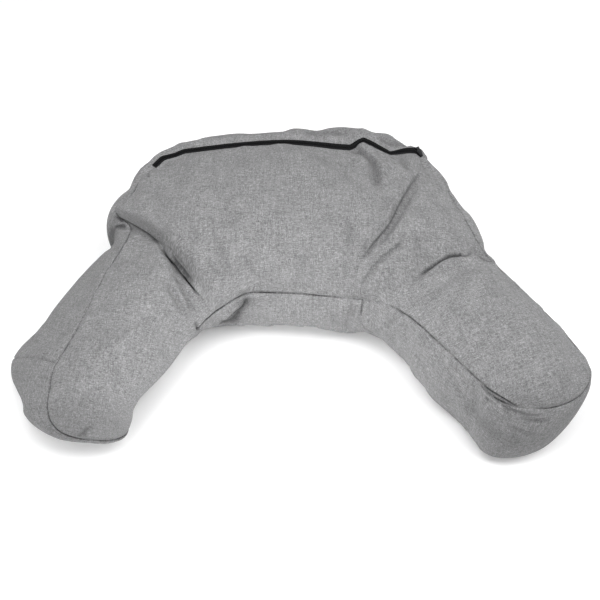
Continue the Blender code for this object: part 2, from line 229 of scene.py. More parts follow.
FINENESS = 1.75                 # stations for each step between ribs
END_SPOKES = 20                 # spokes that fan round the end of an arm
FOOT_HEIGHT = 20                # where the boxing starts to turn under
ZIP_FROM = 6.7                  # places of the zip's ends along the ribs
ZIP_TO = 13.12
ZIP_STIFFNESS = 0.8             # how straight the zip runs between the corners where it buckles
BUCKLES = ((7.0, 0.5), (11.5, 1.9))
BUCKLE_EASE = 3                 # how soon the zip is stiff, in from the end of a buckle's reach
ZIP_RUN_OUT = 0.7               # how far past the zip its band has closed up, in ribs
BAND_CLOSED = 0.08              # the part of its width that it keeps there
BAND_WIDTH = 14.0
CHANNEL_EDGES = (0.8, 1.6, 12.4, 13.2)
CHANNEL_DEPTH = 1.9
SEAM_SINK = 1.5                 # how far a hidden seam lies below the roll, for each mm of tuck
BULGE_PASSES = 8                # how much the bulge, and the seam's course, are evened out
COURSE_PASSES = 10
BROAD_COURSE_PASSES = 60

# Where the seam sways: the place and the reach along the ribs, and how far out.
SEAM_SWAYS = ((6.2, 0.25, 5), (13.25, 0.15, -7), (13.6, 0.2, 4))


def smooth_through(values, places):
    """Read a smooth curve through the values; place 0 is the first value, place 1 the second."""
    knots = np.asarray(values, float)
    last = len(knots) - 1
    cell = np.clip(np.floor(places).astype(int), 0, last - 1)
    t = (np.asarray(places, float) - cell).reshape((-1,) + (1,) * (knots.ndim - 1))
    before, start, end, after = (knots[np.clip(cell + step, 0, last)] for step in (-1, 0, 1, 2))
    cubic = 3 * start - before - 3 * end + after
    square = 2 * before - 5 * start + 4 * end - after
    return 0.5 * (2 * start + (end - before) * t + square * t ** 2 + cubic * t ** 3)


def smooth_step(t):
    t = np.clip(t, 0, 1)
    return t * t * (3 - 2 * t)


def straightened(values, places, share):
    """Pull part of a smooth curve through the values back to straight runs between them."""
    knots = np.asarray(values, float)
    straight = np.column_stack([np.interp(places, np.arange(len(knots)), part) for part in knots.T])
    return smooth_through(values, places) * (1 - share) + straight * share


def ribs_at(name, places):
    """One column of the table of ribs, read at places along them."""
    return smooth_through([getattr(rib, name) for rib in RIBS], places)


def level(vectors):
    """Give plan vectors (x, y) no height."""
    return np.column_stack([vectors, np.zeros(len(vectors))])


def smoothed(rows, passes):
    """Soften an array that runs right round the pillow."""
    for _ in range(passes):
        rows = (np.roll(rows, 1, 0) + 2 * rows + np.roll(rows, -1, 0)) / 4
    return rows


def end_fan(rib, end):
    """The spokes round the end of an arm, from its lap side to its outer side: where their seam lies,
    and the lean, bulge and tuck of their boxing."""
    angle = np.linspace(0, math.pi, END_SPOKES + 2)[1:-1]
    across = np.sign(np.cos(angle)) * np.abs(np.cos(angle)) ** (2 / end.squareness)
    along = np.sin(angle) ** (2 / end.squareness)
    lap, outer, tip = (np.array(point, float) for point in (rib.lap_seam, rib.outer_seam, end.seam))
    middle = (lap + outer) / 2
    seam = middle + np.outer(across, (lap - outer) / 2) + np.outer(along, tip - middle)
    to_lap = (1 + across) / 2
    to_tip = along ** 2
    side_lean = np.outer(to_lap, rib.lap_lean) + np.outer(1 - to_lap, rib.outer_lean)
    lean = side_lean * (1 - to_tip[:, None]) + np.outer(to_tip, end.lean)
    side_bulge = to_lap * rib.lap_bulge + (1 - to_lap) * rib.outer_bulge
    bulge = side_bulge * (1 - to_tip) + end.bulge * to_tip
    return seam, level(lean), bulge, rib.lap_tuck * to_lap * (1 - to_tip)


class Spokes:
    """Lines from the ridge out to the seam, right round the pillow: the lap side, the right end, the
    outer side and the left end. Every array has one row for each spoke."""

    def __init__(self):
        steps = [round(rib.steps * FINENESS) for rib in RIBS[:-1]]
        places = np.concatenate([np.arange(step) / step + number for number, step in enumerate(steps)])
        places = np.append(places, len(RIBS) - 1)
        back = places[::-1]
        count = len(places)
        stiff = sum(smooth_step(BUCKLE_EASE * (1 - np.abs(back - middle) / reach))
                    for middle, reach in BUCKLES)
        outer_seam = straightened([rib.outer_seam for rib in RIBS], back, ZIP_STIFFNESS * stiff[:, None])
        sides = zip(
            (ribs_at("lap_seam", places), level(ribs_at("lap_lean", places)),
             ribs_at("lap_bulge", places), ribs_at("lap_tuck", places)),
            end_fan(RIBS[-1], RIGHT_END),
            (outer_seam, level(ribs_at("outer_lean", back)), ribs_at("outer_bulge", back), np.zeros(count)),
            end_fan(RIBS[0], LEFT_END))
        self.seam, lean, bulge, tuck = (
            np.concatenate([lap, right, outer, left[::-1]]) for lap, right, outer, left in sides)
        self.bulge = smoothed(bulge, BULGE_PASSES)
        self.tuck = tuck[:, None]
        end = np.zeros(END_SPOKES, int)
        self.station = np.concatenate([np.arange(count), end + count - 1, np.arange(count)[::-1], end])
        self.place = places[self.station]
        self.outer = np.arange(len(self.station)) // (count + END_SPOKES) == 1
        self.outer[-END_SPOKES:] = False
        self.ridge = ribs_at("ridge", self.place)
        self.shoulder = np.where(self.outer, ribs_at("shoulder", self.place), RIBS[0].shoulder)
        self.foot = self.seam + lean
        self.foot[:, 2] = FOOT_HEIGHT
        opposite = self.foot[count + END_SPOKES:2 * count + END_SPOKES][::-1]
        self.keel = ((self.foot[:count] + opposite) / 2)[self.station]
        self.out = self.outward(COURSE_PASSES)
        for middle, reach, sway in SEAM_SWAYS:
            near = np.exp(-((self.place - middle) / reach) ** 2)
            self.seam += self.out * (sway * self.outer * near)[:, None]
        self.broad_out = self.outward(BROAD_COURSE_PASSES)
        self.seam += self.out * -self.tuck + (0, 0, -1) * self.tuck * SEAM_SINK
        self.tilt = np.radians(ribs_at("tilt", self.place))[:, None]
        past = np.maximum(ZIP_FROM - self.place, self.place - ZIP_TO)
        open_share = np.where(self.outer, 1 - smooth_step(past / ZIP_RUN_OUT), 0)
        self.band_share = BAND_CLOSED + (1 - BAND_CLOSED) * open_share
        self.zipped = self.outer & (past <= 0)
        self.reach_length = np.linalg.norm((self.seam - self.ridge)[:, :2], axis=1)
        self.drop_length = np.linalg.norm(self.foot - self.seam, axis=1) + self.bulge
        self.run = np.append(0, np.cumsum(np.linalg.norm(np.diff(self.seam, axis=0), axis=1)))

    def outward(self, passes):
        """The level direction out of the pillow at each spoke's seam."""
        along = level((np.roll(self.seam, -1, 0) - np.roll(self.seam, 1, 0))[:, :2])
        along = smoothed(along, passes)
        along /= np.linalg.norm(along, axis=1)[:, None]
        out = np.column_stack([along[:, 1], -along[:, 0], np.zeros(len(along))])
        return out * math.copysign(1, np.sum(out * (self.seam - self.ridge)))

    def band(self, distance, height):
        """Points on the flat band outside the seam, raised off it by a height."""
        up = np.array([0, 0, 1.0])
        across = self.out * np.cos(self.tilt) - up * np.sin(self.tilt)
        normal = self.out * np.sin(self.tilt) + up * np.cos(self.tilt)
        return self.seam + across * distance + normal * height


spokes = Spokes()

# ----------------------------------------------------------
# The folds that the filling leaves in the cover: the back hangs over the roots of the arms in two deep
# creases, and slack cloth gathers in long soft folds right of the head and under the zip's kink.

# Points in plan, the valley's depth, its half width on the left and right of the line's run, the lip
# that stands up on the left and right, and how far the left or right lip leans over the valley.
Fold = namedtuple("Fold", "name points depth left_width right_width left_lip right_lip lean")
FOLDS = (
    Fold("left_overhang", ((-268, 108), (-240, 88), (-214, 68), (-190, 48), (-170, 26), (-152, 2)),
        -7, 14, 12, 0, 0, 0),
    Fold("left_overlap", ((-279, 92), (-251, 72), (-224, 54), (-196, 29)), 9, 5, 6, 5, 0, 4),
    Fold("left_crease", ((-200, 36), (-191, 19), (-184, 8), (-176, -4), (-166, -15), (-155, -25),
        (-144, -38)), 15, 11, 4.5, 5, 3, 3),
    Fold("left_inner_tuck", ((-178, -10), (-160, -38), (-146, -62)), 3, 7, 7, 0, 2, 0),
    Fold("right_crease", ((298, 15), (283, 22), (267, 20), (251, 13), (236, 9), (220, 2), (204, -10),
        (192, -21), (180, -33)), 9, 6, 9, 3, 0, 1.5),
    Fold("right_root", ((296, 12), (240, -20), (165, -70)), 3, 14, 14, 0, 0, 0),
    Fold("head_to_lap", ((193, 146), (178, 115), (155, 67), (145, 45), (132, 27), (108, -1), (99, -16)),
        7, 8, 6, 0, 3, -2),
    Fold("beside_it", ((182, 105), (167, 75), (154, 49), (141, 25), (126, 5)), 4, 7, 7, 0, 2, 0),
    Fold("lap_tuck", ((166, 20), (153, 9), (141, 0), (126, -10), (108, -26)), 5, 7, 7, 0, 2, 0),
    Fold("under_zip_kink", ((92, 194), (113, 179), (125, 150), (127, 108)), 5, 8, 9, 3, 0, 0),
    Fold("under_zip_end", ((166, 196), (174, 176), (182, 150)), 3, 9, 9, 0, 0, 0),
    Fold("left_lap_hollow", ((-104, 33), (-86, 2), (-67, -22)), 4, 12, 12, 2, 0, 0),
    Fold("right_end_tuck", ((271, -198), (292, -214), (316, -228)), 4, 7, 7, 0, 0, 0),
)
LIP_PLACE = 1.7                 # in half widths from the valley
LIP_SPREAD = 0.9
FOLD_SAMPLES = 60
FOLD_TURN = 3                   # mm across which a fold's left side gives way to its right side
FOLD_FADES = (0.3, 6, 0.2, 4)   # its strength at the start and how fast that grows, and at the end
HELD_DEPTH = 6                  # a fold as deep as this is held fast by the filling


def faded(share, start, rise, end, fall):
    """How strong a line is at each share of its length, fading towards both ends."""
    return smooth_step(start + share * rise) * smooth_step(end + (1 - share) * fall)


def press_folds(points):
    """Press the folds into points of the top panel, and raise and lean the lips beside them. Also
    gives how far each point lies down a fold, from 0 to 1."""
    pressed = points.copy()
    held = np.zeros(len(points))
    for fold in FOLDS:
        share = np.linspace(0, 1, FOLD_SAMPLES)
        path = smooth_through(fold.points, share * (len(fold.points) - 1))
        away = points[:, None, :2] - path[None]
        nearest = np.argmin(np.sum(away ** 2, axis=2), axis=1)
        offset = away[np.arange(len(points)), nearest]
        along = np.gradient(path, axis=0)[nearest]
        along /= np.linalg.norm(along, axis=1)[:, None]
        rightward = np.column_stack([along[:, 1], -along[:, 0]])
        on_right = smooth_step(0.5 + np.sum(offset * rightward, axis=1) / FOLD_TURN)
        width = fold.left_width + (fold.right_width - fold.left_width) * on_right
        distance = np.linalg.norm(offset, axis=1) / width
        lip_height = fold.left_lip + (fold.right_lip - fold.left_lip) * on_right
        lip_shape = np.exp(-((distance - LIP_PLACE) / LIP_SPREAD) ** 2)
        fade = faded(share[nearest], *FOLD_FADES)
        pressed[:, 2] += (lip_height * lip_shape - fold.depth * np.exp(-distance ** 2)) * fade
        leaning = np.where(fold.lean > 0, 1 - on_right, -on_right) * abs(fold.lean)
        pressed[:, :2] += rightward * (leaning * lip_shape * fade)[:, None]
        held = np.maximum(held, np.exp(-distance ** 2) * fade * smooth_step(fold.depth / HELD_DEPTH))
    return pressed, held


# ----------------------------------------------------------
# The filled cover: the top panel, the boxing that runs right round it, and the flat underside, as one
# closed skin over the filling. Rows run from the ridge of the crown out to the seam and down.

CROWN_ROUND = 2.2               # how flat the crown is along its middle
CROWN_EDGE = 0.8                # how steeply it falls to the seam
ROLL_SWELL = 4.6                # how full the crown is where it rolls over a hidden seam
CROWN_ROWS = 17
RIM_ROWS = (9, 5, 2.2)          # rows beside the seam, by their distance from it
BOXING_ROWS = 13
SOFT_SWELL = 0.9                # how the boxing swells with a soft shoulder, and how much less with a
SQUARE_SWELL = 0.45             # square one
FOOT_ROLL = 0.14                # the part of the underside that turns up to the boxing
FOOT_ROLL_ROWS = 4
UNDERSIDE_ROWS = (0.66, 0.44, 0.22)


def crown_row(reach):
    """The top panel at one part of the way from the ridge to the seam."""
    reach = np.broadcast_to(reach, spokes.place.shape)[:, None]
    row = spokes.ridge + (spokes.seam - spokes.ridge) * reach
    rise = (1 - reach ** CROWN_ROUND) ** CROWN_EDGE
    row[:, 2:] = spokes.seam[:, 2:] + (spokes.ridge[:, 2:] - spokes.seam[:, 2:]) * rise
    row += spokes.out * spokes.tuck * ROLL_SWELL * reach ** 3 * np.sqrt(1 - reach)
    return press_folds(row)[0]


def boxing_row(down):
    """The boxing at one part of the way from the band's outer edge to the foot."""
    down = np.broadcast_to(down, spokes.place.shape)[:, None]
    start = spokes.band((BAND_WIDTH * spokes.band_share)[:, None], 0)
    shoulder = spokes.shoulder[:, None]
    swell = np.clip(np.sin(math.pi * down), 0, 1) ** (SOFT_SWELL - SQUARE_SWELL * shoulder)
    row = start + (spokes.foot - start) * down + spokes.broad_out * spokes.bulge[:, None] * swell
    drop = down * (1 - shoulder) + (1 - np.cos(math.pi * down)) / 2 * shoulder
    row[:, 2:] = start[:, 2:] + (spokes.foot[:, 2:] - start[:, 2:]) * drop
    return row


def underside_row(reach, height):
    row = spokes.keel + (spokes.foot - spokes.keel) * reach
    row[:, 2] = height
    return row


rim = RIM_ROWS[0] / spokes.reach_length
rows = [crown_row((1 - rim) * number / CROWN_ROWS) for number in range(1, CROWN_ROWS + 1)]
rows += [crown_row(1 - distance / spokes.reach_length) for distance in RIM_ROWS[1:]]
rows.append(crown_row(1.0))
top_rows = len(rows)
for edge, depth in zip(CHANNEL_EDGES, (0, CHANNEL_DEPTH, CHANNEL_DEPTH, 0)):
    height = -depth * spokes.band_share ** 3
    rows.append(spokes.band((edge * spokes.band_share)[:, None], height[:, None]))
band_rows = len(rows)
rows += [boxing_row(distance / spokes.drop_length) for distance in RIM_ROWS[:0:-1]]
rim = RIM_ROWS[0] / spokes.drop_length
rows += [boxing_row(rim + (1 - rim) * number / BOXING_ROWS) for number in range(BOXING_ROWS + 1)]
boxing_rows = len(rows)
for turn in np.arange(1, FOOT_ROLL_ROWS + 1) / FOOT_ROLL_ROWS * math.pi / 2:
    rows.append(underside_row(1 - FOOT_ROLL * math.sin(turn), FOOT_HEIGHT * (1 - math.sin(turn))))
rows += [underside_row(reach, 0) for reach in UNDERSIDE_ROWS]

station_count = spokes.station.max() + 1
spoke_count = len(spokes.station)
ridge_points = crown_row(0.0)[:station_count]
keel_points = underside_row(0.0, 0)[:station_count]
cover_points = np.vstack([ridge_points] + rows + [keel_points])
row_corners = [spokes.station]
for number in range(len(rows)):
    row_corners.append(station_count + number * spoke_count + np.arange(spoke_count))
row_corners.append(station_count + len(rows) * spoke_count + spokes.station)

# The cloth is cut with its threads straight across the back; the arms have turned with theirs. The
# boxing is cut from another place on the cloth.
LEFT_ARM_TURN = (4.0, -5)       # up to this place along the ribs, and by how many degrees
RIGHT_ARM_TURN = (15.0, 20)     # from this place on
BOXING_CUT = 3000               # mm along the cloth
ZIP_BED_EDGE = 4                # how soon the band counts as the zip's, once it starts to open
cover_faces = []
cover_uvs = []
run_closed = np.append(spokes.run, spokes.run[-1] + np.linalg.norm(spokes.seam[0] - spokes.seam[-1]))
drop_run = np.zeros((len(row_corners), spoke_count))
plan_run = np.zeros((len(row_corners), spoke_count))
for number in range(1, len(row_corners)):
    step = cover_points[row_corners[number]] - cover_points[row_corners[number - 1]]
    drop_run[number] = drop_run[number - 1] + np.linalg.norm(step, axis=1)
    plan_run[number] = plan_run[number - 1] + np.sum(step * spokes.out, axis=1).clip(0)
plan_run[top_rows + 1:] = drop_run[top_rows + 1:]


def flat_place(row, spoke, place):
    """Where a point of the top panel or underside lies on the flat cloth, in millimetres."""
    lie = spokes.out[spoke] * (drop_run[row, spoke] - plan_run[row, spoke])
    turn = 0
    if place < LEFT_ARM_TURN[0]:
        turn = LEFT_ARM_TURN[1]
    elif place > RIGHT_ARM_TURN[0]:
        turn = RIGHT_ARM_TURN[1]
    point = Vector(cover_points[row_corners[row][spoke]] + lie)
    return (Matrix.Rotation(math.radians(-turn), 3, "Z") @ point)[:2]


for number in range(len(row_corners) - 1):
    for here in range(spoke_count):
        after = (here + 1) % spoke_count
        face = []
        for row, spoke in ((number, here), (number + 1, here), (number + 1, after), (number, after)):
            corner = int(row_corners[row][spoke])
            if corner in face:
                continue
            face.append(corner)
            if top_rows <= number <= boxing_rows:
                run = run_closed[here + 1 if spoke == after else here]
                cover_uvs.append((run + BOXING_CUT, drop_run[row, spoke]))
            else:
                cover_uvs.append(flat_place(row, spoke, (spokes.place[here] + spokes.place[after]) / 2))
        cover_faces.append(face)

cover_mesh = bpy.data.meshes.new("cushion_cover")
cover_mesh.from_pydata((cover_points * MM).tolist(), [], cover_faces)
cut_map = cover_mesh.uv_layers.new(name="cut")
cut_map.data.foreach_set("uv", (np.array(cover_uvs) * MM).ravel())
zip_bed = np.zeros(len(cover_points))
for corners in row_corners[top_rows + 1:band_rows + 1]:
    zip_bed[corners] = smooth_step((spokes.band_share - BAND_CLOSED) * ZIP_BED_EDGE)
cover_mesh.attributes.new("zip_bed", "FLOAT", "POINT").data.foreach_set("value", zip_bed)
cover = add_object("cushion_cover", cover_mesh)
cover_mesh.shade_smooth()

# ----------------------------------------------------------
# The filling: loose fibre that presses the cover out evenly while the seams, the creases and the floor
# hold it. The cover is let settle as cloth, and keeps the wrinkles that this gives it.

AIR_PRESSURE = 3.0
CLOTH_SLACK = -0.045            # the cover is a little larger than its filling
SETTLING_FRAMES = 20
LEAST_HOLD = 0.05               # points held less than this are free
HOLD_REACH = 1.2
BROAD_PASSES = 50               # the swelling over wider areas than this is taken off again
BROAD_KEPT = 0.15
MOVE_LIMIT = 7.0

hold = np.zeros(len(cover_points))
crown_count = station_count + top_rows * spoke_count
hold[:crown_count] = press_folds(cover_points[:crown_count])[1]
for corners in row_corners[top_rows:band_rows + 2] + row_corners[boxing_rows + 1:]:
    hold[corners] = 1
edges = np.empty(len(cover_mesh.edges) * 2, int)
cover_mesh.edges.foreach_get("vertices", edges)
edges = edges.reshape(-1, 2)
edge_count = np.bincount(edges.ravel(), minlength=len(cover_points))[:, None]


def spread(values, passes):
    """Even out values over the cover by handing them along its edges."""
    for _ in range(passes):
        total = np.zeros_like(values)
        np.add.at(total, edges[:, 0], values[edges[:, 1]])
        np.add.at(total, edges[:, 1], values[edges[:, 0]])
        values = (values + total / edge_count) / 2
    return values


held_group = cover.vertex_groups.new(name="held")
for index, weight in enumerate(hold):
    if weight > LEAST_HOLD:
        held_group.add([index], min(1.0, weight), "REPLACE")
settling = cover.modifiers.new("settling", "CLOTH")
settings = settling.settings
settings.quality = 6
settings.mass = 0.25
settings.tension_stiffness = 20
settings.compression_stiffness = 20
settings.shear_stiffness = 8
settings.bending_stiffness = 0.6
settings.use_pressure = True
settings.uniform_pressure_force = AIR_PRESSURE
settings.shrink_min = CLOTH_SLACK
settings.vertex_group_mass = held_group.name
settings.effector_weights.gravity = 0
settling.collision_settings.use_collision = False
settling.point_cache.frame_start = 1
settling.point_cache.frame_end = SETTLING_FRAMES
for frame_number in range(1, SETTLING_FRAMES + 1):
    bpy.context.scene.frame_set(frame_number)
settled = cover.evaluated_get(bpy.context.evaluated_depsgraph_get()).data
settled_points = np.empty(len(cover_points) * 3, np.float32)
settled.vertices.foreach_get("co", settled_points)
moved = settled_points.reshape(-1, 3) / MM - cover_points
cover.modifiers.remove(settling)
bpy.context.scene.frame_set(1)
moved -= spread(moved, BROAD_PASSES) * (1 - BROAD_KEPT)
length = np.linalg.norm(moved, axis=1)[:, None]
moved *= MOVE_LIMIT * np.tanh(length / MOVE_LIMIT) / np.maximum(length, 1e-6)
moved *= (1 - smooth_step(hold * HOLD_REACH))[:, None]
cover_points = cover_points + moved
cover_points[:, 2] = np.maximum(cover_points[:, 2], 0)
cover_mesh.vertices.foreach_set("co", (cover_points * MM).ravel())
cover_mesh.update()

# ----------------------------------------------------------
# The seams and the sharp creases. The panels are joined right sides together and turned, so a seam is
# a fine valley between two soft rolls, and its stitches gather the cloth into small puckers. Shade is
# painted into the cloth's colour along the seams and creases, where it falls in their valleys.

rounding = cover.modifiers.new("rounding", "SUBSURF")
rounding.levels = 1
rounding.render_levels = 1
depsgraph = bpy.context.evaluated_depsgraph_get()
cover_mesh = bpy.data.meshes.new_from_object(cover.evaluated_get(depsgraph), preserve_all_data_layers=True,
                                             depsgraph=depsgraph)
cover.modifiers.clear()
cover.data = cover_mesh
cover_mesh.name = "cushion_cover"

# A cross seam joins two lengths of the boxing: on the outer or lap side, its place along the ribs and
# its depth.
CrossSeam = namedtuple("CrossSeam", "name outer place depth")
CROSS_SEAMS = (
    CrossSeam("left_wrist_join", True, 1.15, 1.5),
    CrossSeam("right_wrist_join", True, 16.7, 1.6),
    CrossSeam("zip_left_join", True, 6.55, 0.6),
    CrossSeam("zip_right_join", True, 13.2, 1.4),
    CrossSeam("lap_left_join", False, 3.1, 1.4),
)

# A crease in the cover: points near it, its depth (negative for a ridge), its half width, how much
# shade is painted into the cloth's colour along it, and how far the cloth on its left, or where negative
# its right, rolls over it.
Crease = namedtuple("Crease", "name points depth width shade overhang", defaults=(0,))
CREASES = [Crease(*row) for row in (
    ("left_overlap", ((-274, 85, 148), (-265, 82, 147), (-254, 74, 150), (-248, 69, 150),
        (-238, 62, 150), (-228, 54, 151), (-216, 44, 152), (-203, 36, 151), (-193, 28, 151)),
        3.5, 2.8, 1, 1),
    ("left_crease", ((-197, 28, 146), (-191, 19, 143), (-184, 9, 142), (-176, 0, 140),
        (-169, -9, 137), (-161, -17, 133), (-154, -25, 128), (-141, -43, 129), (-131, -51, 120)),
        4, 2.2, 1, 2.5),
    # Mostly painted shade on the facet between the two lines of the left crease.
    ("left_facet", ((-184, 14, 152), (-171, -1, 146), (-164, -8, 144), (-156, -16, 139),
        (-148, -27, 134)), 1.5, 4.5, 0.8),
    ("left_facet_edge", ((-193, 29, 153), (-180, 16, 158), (-167, 0, 156), (-155, -13, 149),
        (-148, -23, 140)), 1.2, 1.6, 0.35),
    ("left_under", ((-273, 77, 130), (-264, 74, 136), (-254, 71, 140)), 3, 3, 0.6),
    ("left_soft", ((-178, -22, 140), (-160, -45, 128), (-147, -66, 112)), 2.2, 6, 0.24),
    ("left_soft_two", ((-186, -40, 146), (-168, -58, 132), (-152, -78, 100)), 2.0, 6, 0.22),
    ("right_crease", ((276, 27, 139), (260, 14, 149), (251, 14, 146), (240, 12, 147), (232, 8, 151),
        (219, 0, 151), (207, -9, 150), (192, -19, 144), (181, -30, 145)), 2.6, 2.6, 0.95),
    ("right_notch", ((274, 24, 141), (283, 14, 145), (290, 11, 141), (297, 8, 134), (300, 6, 126)),
        3.5, 3, 0.6),
    ("right_root", ((189, -30, 144), (219, -16, 151), (246, -8, 153)), 1.2, 6, 0.1),
    ("head_to_lap", ((197, 155, 171), (193, 145, 173), (179, 119, 177), (165, 90, 184),
        (150, 61, 183), (139, 40, 182), (127, 22, 182), (117, 9, 177), (107, -4, 170), (99, -13, 165)),
        2.2, 2.8, 0.45, -1.5),
    ("head_to_lap_shade", ((189, 131, 175), (173, 98, 180), (158, 63, 182), (145, 38, 182),
        (131, 18, 182), (117, 0, 177)), 1, 7, 0.2),
    ("beside_it", ((188, 117, 178), (171, 81, 180), (153, 47, 181), (138, 25, 182), (120, 3, 180)),
        2, 4.5, 0.32),
    ("lap_tuck", ((166, 17, 181), (151, 7, 175), (136, -4, 169), (120, -15, 157), (105, -30, 135)),
        2.2, 3.2, 0.3),
    ("under_zip_kink", ((90, 192, 171), (101, 189, 174), (110, 180, 178), (121, 167, 178),
        (128, 147, 181), (128, 120, 186), (124, 99, 194)), 2.6, 6.5, 0.45),
    ("under_zip_end", ((168, 190, 167), (174, 170, 175), (180, 149, 181)), 1.8, 8, 0.22),
    ("rear_ridge", ((60, 243, 160), (84, 240, 162), (104, 229, 168), (122, 215, 171)), -3, 6, 0),
    # The rear hollows are darkened mostly by painted shade.
    ("rear_hollow_left", ((16, 236, 169), (35, 237, 166), (55, 238, 164), (74, 236, 164),
        (92, 229, 166)), 3, 8, 0.3),
    ("rear_hollow_right", ((134, 217, 170), (154, 221, 161), (173, 219, 158), (187, 213, 158)),
        3, 9, 0.35),
    ("back_soft", ((-114, 19, 194), (-103, -1, 184), (-101, -14, 172), (-90, -24, 152)),
        2.2, 7, 0.22),
    ("back_soft_two", ((-77, -3, 174), (-63, -14, 156), (-46, -20, 143)), 1.8, 6, 0.18),
    ("back_soft_three", ((85, 51, 200), (87, 24, 195), (79, 4, 184)), 1.6, 8, 0.14),
    ("back_soft_four", ((-128, -12, 179), (-115, -23, 165), (-95, -28, 150)), 1.8, 6, 0.2),
    # The lap recess: a fold, with painted shade over the recess beside and below it.
    ("lap_recess", ((-70, -34, 104), (-80, -42, 93), (-90, -50, 88), (-102, -50, 72), (-110, -49, 58),
        (-117, -46, 42)), 6, 3.5, 0.8, -4),
    ("lap_recess_side", ((-66, -35, 112), (-74, -40, 98), (-81, -45, 84), (-88, -46, 70),
        (-95, -45, 56), (-102, -45, 43), (-108, -44, 34)), 4, 10, 0.9),
    ("lap_recess_floor", ((-82, -46, 74), (-93, -46, 57), (-104, -45, 42), (-111, -44, 33)),
        1, 9, 0.85),
    ("lap_right_join", ((106, -40, 111), (104, -49, 102), (104, -54, 84)), 1.6, 1.5, 0.6),
    ("lap_right_bulge", ((104, -54, 82), (105, -52, 74), (110, -56, 63), (120, -60, 52),
        (129, -65, 44)), 1.8, 3.5, 0.05, -2),
    ("lap_mark", ((89, -42, 112), (88, -48, 103), (88, -50, 92)), 0.8, 1.3, 0.3),
    ("lap_right_hollow", ((155, -69, 115), (148, -73, 103), (142, -74, 85)), 2, 5, 0.2),
    # Painted shade over the lower front of the right arm's boxing, with little depth.
    ("right_boxing_dark", ((250, -198, 86), (263, -219, 82), (283, -242, 80), (312, -254, 73),
        (335, -253, 78)), 1, 19, 0.22),
    ("right_boxing_long", ((208, -137, 121), (225, -162, 112), (239, -184, 99), (251, -201, 88)),
        1.6, 4.5, 0.1),
    ("right_boxing_second", ((227, -156, 126), (243, -179, 120), (254, -195, 114)), 1.4, 3.5, 0.1),
    ("right_boxing_third", ((181, -117, 91), (196, -140, 77), (208, -157, 63)), 1.4, 5, 0.08),
    ("right_end_fold", ((270, -196, 133), (279, -205, 134), (292, -214, 134), (305, -222, 132),
        (318, -229, 129)), 3.5, 2.2, 0.8, 2.5),
    ("right_end_bunch", ((273, -201, 131), (279, -208, 126), (280, -214, 122), (276, -216, 117)),
        2, 1.8, 0.5),
    ("right_end_bunch_two", ((281, -208, 132), (290, -218, 126), (302, -227, 122), (306, -231, 118)),
        2, 2.2, 0.45),
    ("right_end_lower", ((293, -216, 128), (309, -228, 123), (328, -237, 120), (355, -238, 118)),
        2, 3, 0.3),
    ("right_end_tuck", ((320, -240, 116), (342, -243, 110), (361, -240, 108)), 1.8, 4, 0.2),
    ("right_end_foot", ((304, -248, 100), (326, -251, 92), (350, -250, 80)), 2, 5, 0.15),
    ("left_tip_pucker", ((-308, -248, 69), (-297, -244, 80), (-287, -239, 90)), 2, 3, 0.5),
    ("left_lap_corner", ((-146, -73, 98), (-144, -75, 84), (-145, -66, 60)), 2.5, 2.2, 0.6),
    ("zip_end_loop", ((-215, 170, 162), (-222, 160, 162), (-223, 149, 166), (-220, 140, 170)),
        1.2, 1.6, 0.6),
)]
CREASE_REACH = 4                # in half widths from the crease
CREASE_LIP = 0.2                # how high its lips stand, for each mm of depth
CREASE_FADES = (0.15, 5, 0.05, 4)
SEAM_DEPTH = 2.2
SEAM_WIDTH = 1.15
SEAM_ROLL = 0.7                 # how far the cloth swells beside a seam
SEAM_ROLL_REACH = 6.0
# how much shade is painted into a seam's valley
SEAM_SHADE = 0.55
OPEN_PITCH = 25                 # mm along a seam over which it opens or shuts
OPEN_SHARE = 1.1
LEAST_OPEN = 0.12
CLOSED_SPOTS = (((108, -44, 112), 50), ((335, -232, 130), 20))     # where a seam lies shut, and the reach
CLOSED_SHARE = 0.8              # how far it is shut there
PUCKER_PITCH = 8.0
PUCKER_DEPTH = 0.7
PUCKER_REACH = 10.0
SEAM_REACH = 3 * PUCKER_REACH
GATHER_PITCH = PUCKER_PITCH * 6
LEAST_GATHER = 0.1
FOOT_SEAM = (0.8, 0.3)          # the parts of the depth and the puckers that the foot's seam has
BAND_SEAM = 0.6
CROSS_PUCKERS = 0.6
STITCH_LINE_STEP = 1.5
REFINE_REACH = 6.0
SPARE_KNOTS = 4                 # random values past the end of a line
RANDOM_SEED = 11


def cloth_surface():
    """The cover as it stands now, for laying lines on it, with its points and normals."""
    body = bmesh.new()
    body.from_mesh(cover_mesh)
    surface = BVHTree.FromBMesh(body)
    body.free()
    points, normals = np.empty((2, len(cover_mesh.vertices) * 3))
    cover_mesh.vertices.foreach_get("co", points)
    cover_mesh.vertices.foreach_get("normal", normals)
    return surface, points.reshape(-1, 3) / MM, normals.reshape(-1, 3)


def lay_line(points, closed=False):
    """A line of close points on the cloth through the points given."""
    points = np.asarray(points, float)
    if closed:
        points = np.vstack([points, points[:1]])
    total = np.linalg.norm(np.diff(points, axis=0), axis=1).sum()
    line = smooth_through(points, np.linspace(0, len(points) - 1, int(total / STITCH_LINE_STEP)))
    return np.array([surface.find_nearest(Vector(point * MM))[0] for point in line]) / MM


def beside_line(line, reach):
    """The points within reach of a line: their indices, distances and nearest places on it."""
    low = line.min(0) - reach
    high = line.max(0) + reach
    inside = np.nonzero(np.all((points > low) & (points < high), axis=1))[0]
    tree = KDTree(len(line))
    for number, point in enumerate(line):
        tree.insert(point, number)
    tree.balance()
    found = [tree.find(points[index])[1:] for index in inside]
    nearest, distance = (np.array(part) for part in zip(*found))
    near = distance < reach
    return inside[near], distance[near], nearest[near].astype(int)


def cross_line(seam):
    """The line of a cross seam, down the boxing at its place along the ribs."""
    gap = np.where(spokes.outer == seam.outer, np.abs(spokes.place - seam.place), np.inf)
    spoke = int(np.argmin(gap[:2 * station_count + END_SPOKES]))
    down = row_corners[band_rows + 1:boxing_rows + 1]
    return lay_line([cover_points[corners[spoke]] for corners in down])


